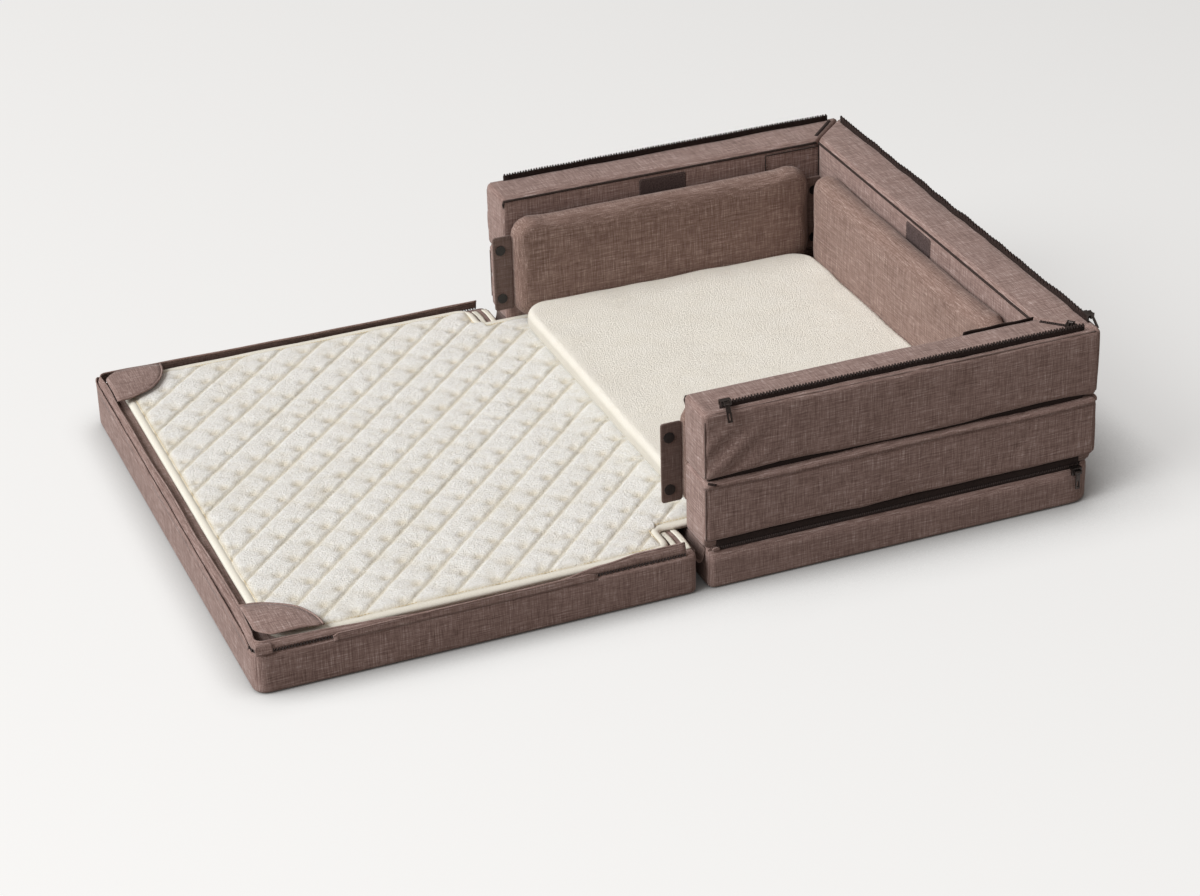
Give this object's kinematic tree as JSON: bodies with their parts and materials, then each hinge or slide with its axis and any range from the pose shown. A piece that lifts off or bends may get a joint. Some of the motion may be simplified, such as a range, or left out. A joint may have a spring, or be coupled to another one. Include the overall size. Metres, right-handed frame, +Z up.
{
  "type": "folding sofa bed",
  "caption": "Low padded fabric sofa bed that opens flat: a seat with three fold-down walls and inner boards, a quilted leaf hinged in front, and a fleece mat.",
  "frame": {"origin": "middle of the seat slab's underside, on the floor", "axes": "+X from the leaf to the seat's back wall, +Y to the far side wall, +Z up"},
  "size_m": [0.9587, 0.6487, 0.218],
  "materials": {
    "linen": "matte",
    "tape": "matte",
    "zip_teeth": "satin",
    "terry": "matte",
    "elastic": "matte",
    "fleece": "matte",
    "foam": "matte",
    "hook_tape": "matte",
    "dark_metal": "satin"
  },
  "bodies": {
    "seat": {"seat_cover": "linen", "seat_core": "foam", "seat_band_tape": "tape", "band_end_tabs": "linen", "hinge_web": "linen", "pad_seat": "terry"},
    "leaf": {"leaf_cover": "linen", "leaf_core": "foam", "leaf_flap": "linen", "leaf_chain": "zip_teeth", "near_corner_pocket": "linen", "far_corner_pocket": "linen", "pad_leaf": "terry", "pad_straps": "elastic"},
    "mat": {"mat_cover": "fleece", "mat_core": "foam"},
    "near_wall": {"near_wall_cover": "linen", "near_wall_core": "foam", "near_waist_zip": "tape", "near_band_tape": "tape", "near_top_zip": "zip_teeth", "near_hook_patch": "hook_tape", "near_corner_flap": "linen", "near_mitre_zip": "tape"},
    "near_board": {"near_board_cover": "linen", "near_board_core": "foam", "near_rear_tab": "linen", "near_rear_studs": "dark_metal"},
    "far_wall": {"far_wall_cover": "linen", "far_wall_core": "foam", "far_waist_zip": "tape", "far_band_tape": "tape", "far_top_zip": "zip_teeth", "far_hook_patch": "hook_tape", "far_corner_flap": "linen", "far_mitre_zip": "tape"},
    "far_board": {"far_board_cover": "linen", "far_board_core": "foam", "far_rear_tab": "linen", "far_rear_studs": "dark_metal"},
    "back_wall": {"back_wall_cover": "linen", "back_wall_core": "foam", "back_waist_zip": "tape", "back_band_tape": "tape", "back_top_zip": "zip_teeth", "back_hook_patch": "hook_tape"},
    "back_board": {"back_board_cover": "linen", "back_board_core": "foam"},
    "near_tab": {"near_front_tab": "linen", "near_front_studs": "dark_metal"},
    "far_tab": {"far_front_tab": "linen", "far_front_studs": "dark_metal"},
    "near_top_slider": {"near_top_slider": "dark_metal"},
    "near_top_pull": {"near_top_pull": "dark_metal"},
    "back_top_slider": {"back_top_slider": "dark_metal"},
    "back_top_pull": {"back_top_pull": "dark_metal"},
    "mitre_slider": {"mitre_slider": "dark_metal"},
    "mitre_pull": {"mitre_pull": "dark_metal"},
    "band_slider": {"band_slider": "dark_metal"},
    "band_pull": {"band_pull": "dark_metal"}
  },
  "joints": [
    {"name": "leaf_fold", "type": "hinge", "parent": "seat", "child": "leaf", "pos_m": [-0.235, 0, 0.061], "axis": [0, 1, 0], "range_deg": [0, 90]},
    {"name": "near_wall_fold", "type": "hinge", "parent": "seat", "child": "near_wall", "pos_m": [0, -0.32, 0.04815], "axis": [1, 0, 0], "range_deg": [0, 105]},
    {"name": "far_wall_fold", "type": "hinge", "parent": "seat", "child": "far_wall", "pos_m": [0, 0.32, 0.04815], "axis": [-1, 0, 0], "range_deg": [0, 105]},
    {"name": "back_wall_fold", "type": "hinge", "parent": "seat", "child": "back_wall", "pos_m": [0.2285, 0, 0.04815], "axis": [0, 1, 0], "range_deg": [0, 105]},
    {"name": "near_board_lift", "type": "slide", "parent": "near_wall", "child": "near_board", "axis": [0, 0, 1], "range_m": [0, 0.14]},
    {"name": "far_board_lift", "type": "slide", "parent": "far_wall", "child": "far_board", "axis": [0, 0, 1], "range_m": [0, 0.14]},
    {"name": "back_board_lift", "type": "slide", "parent": "back_wall", "child": "back_board", "axis": [0, 0, 1], "range_m": [0, 0.14]},
    {"name": "mat_lift", "type": "slide", "parent": "seat", "child": "mat", "axis": [0, 0, 1], "range_m": [0, 0.25]},
    {"name": "near_tab_swing", "type": "hinge", "parent": "near_board", "child": "near_tab", "pos_m": [-0.2291, -0.2505, 0.121], "axis": [0, 0, -1], "range_deg": [0, 90]},
    {"name": "far_tab_swing", "type": "hinge", "parent": "far_board", "child": "far_tab", "pos_m": [-0.2291, 0.2505, 0.121], "axis": [0, 0, 1], "range_deg": [0, 90]},
    {"name": "near_top_slider_run", "type": "slide", "parent": "near_wall", "child": "near_top_slider", "axis": [1, 0, 0], "range_m": [0, 0.38]},
    {"name": "near_top_pull_flip", "type": "hinge", "parent": "near_top_slider", "child": "near_top_pull", "pos_m": [-0.2065, -0.3195, 0.2161], "axis": [-1, 0, 0], "range_deg": [0, 120]},
    {"name": "back_top_slider_run", "type": "slide", "parent": "back_wall", "child": "back_top_slider", "axis": [0, 1, 0], "range_m": [0, 0.59]},
    {"name": "back_top_pull_flip", "type": "hinge", "parent": "back_top_slider", "child": "back_top_pull", "pos_m": [0.228, -0.296, 0.2161], "axis": [0, -1, 0], "range_deg": [0, 120]},
    {"name": "mitre_slider_run", "type": "slide", "parent": "near_wall", "child": "mitre_slider", "axis": [-0.7071, 0.7071, 0], "range_m": [0, 0.028]},
    {"name": "mitre_pull_flip", "type": "hinge", "parent": "mitre_slider", "child": "mitre_pull", "pos_m": [0.20092, -0.30091, 0.2131], "axis": [-0.7071, 0.7071, 0], "range_deg": [0, 90]},
    {"name": "band_slider_run", "type": "slide", "parent": "seat", "child": "band_slider", "axis": [-1, 0, 0], "range_m": [0, 0.38]},
    {"name": "band_pull_flip", "type": "hinge", "parent": "band_slider", "child": "band_pull", "pos_m": [0.2045, -0.3255, 0.0422], "axis": [-1, 0, 0], "range_deg": [0, 60]}
  ],
  "couplings": [
    {"joint": "near_tab_swing", "follows": "leaf_fold", "ratio": 1},
    {"joint": "far_tab_swing", "follows": "leaf_fold", "ratio": 1}
  ]
}
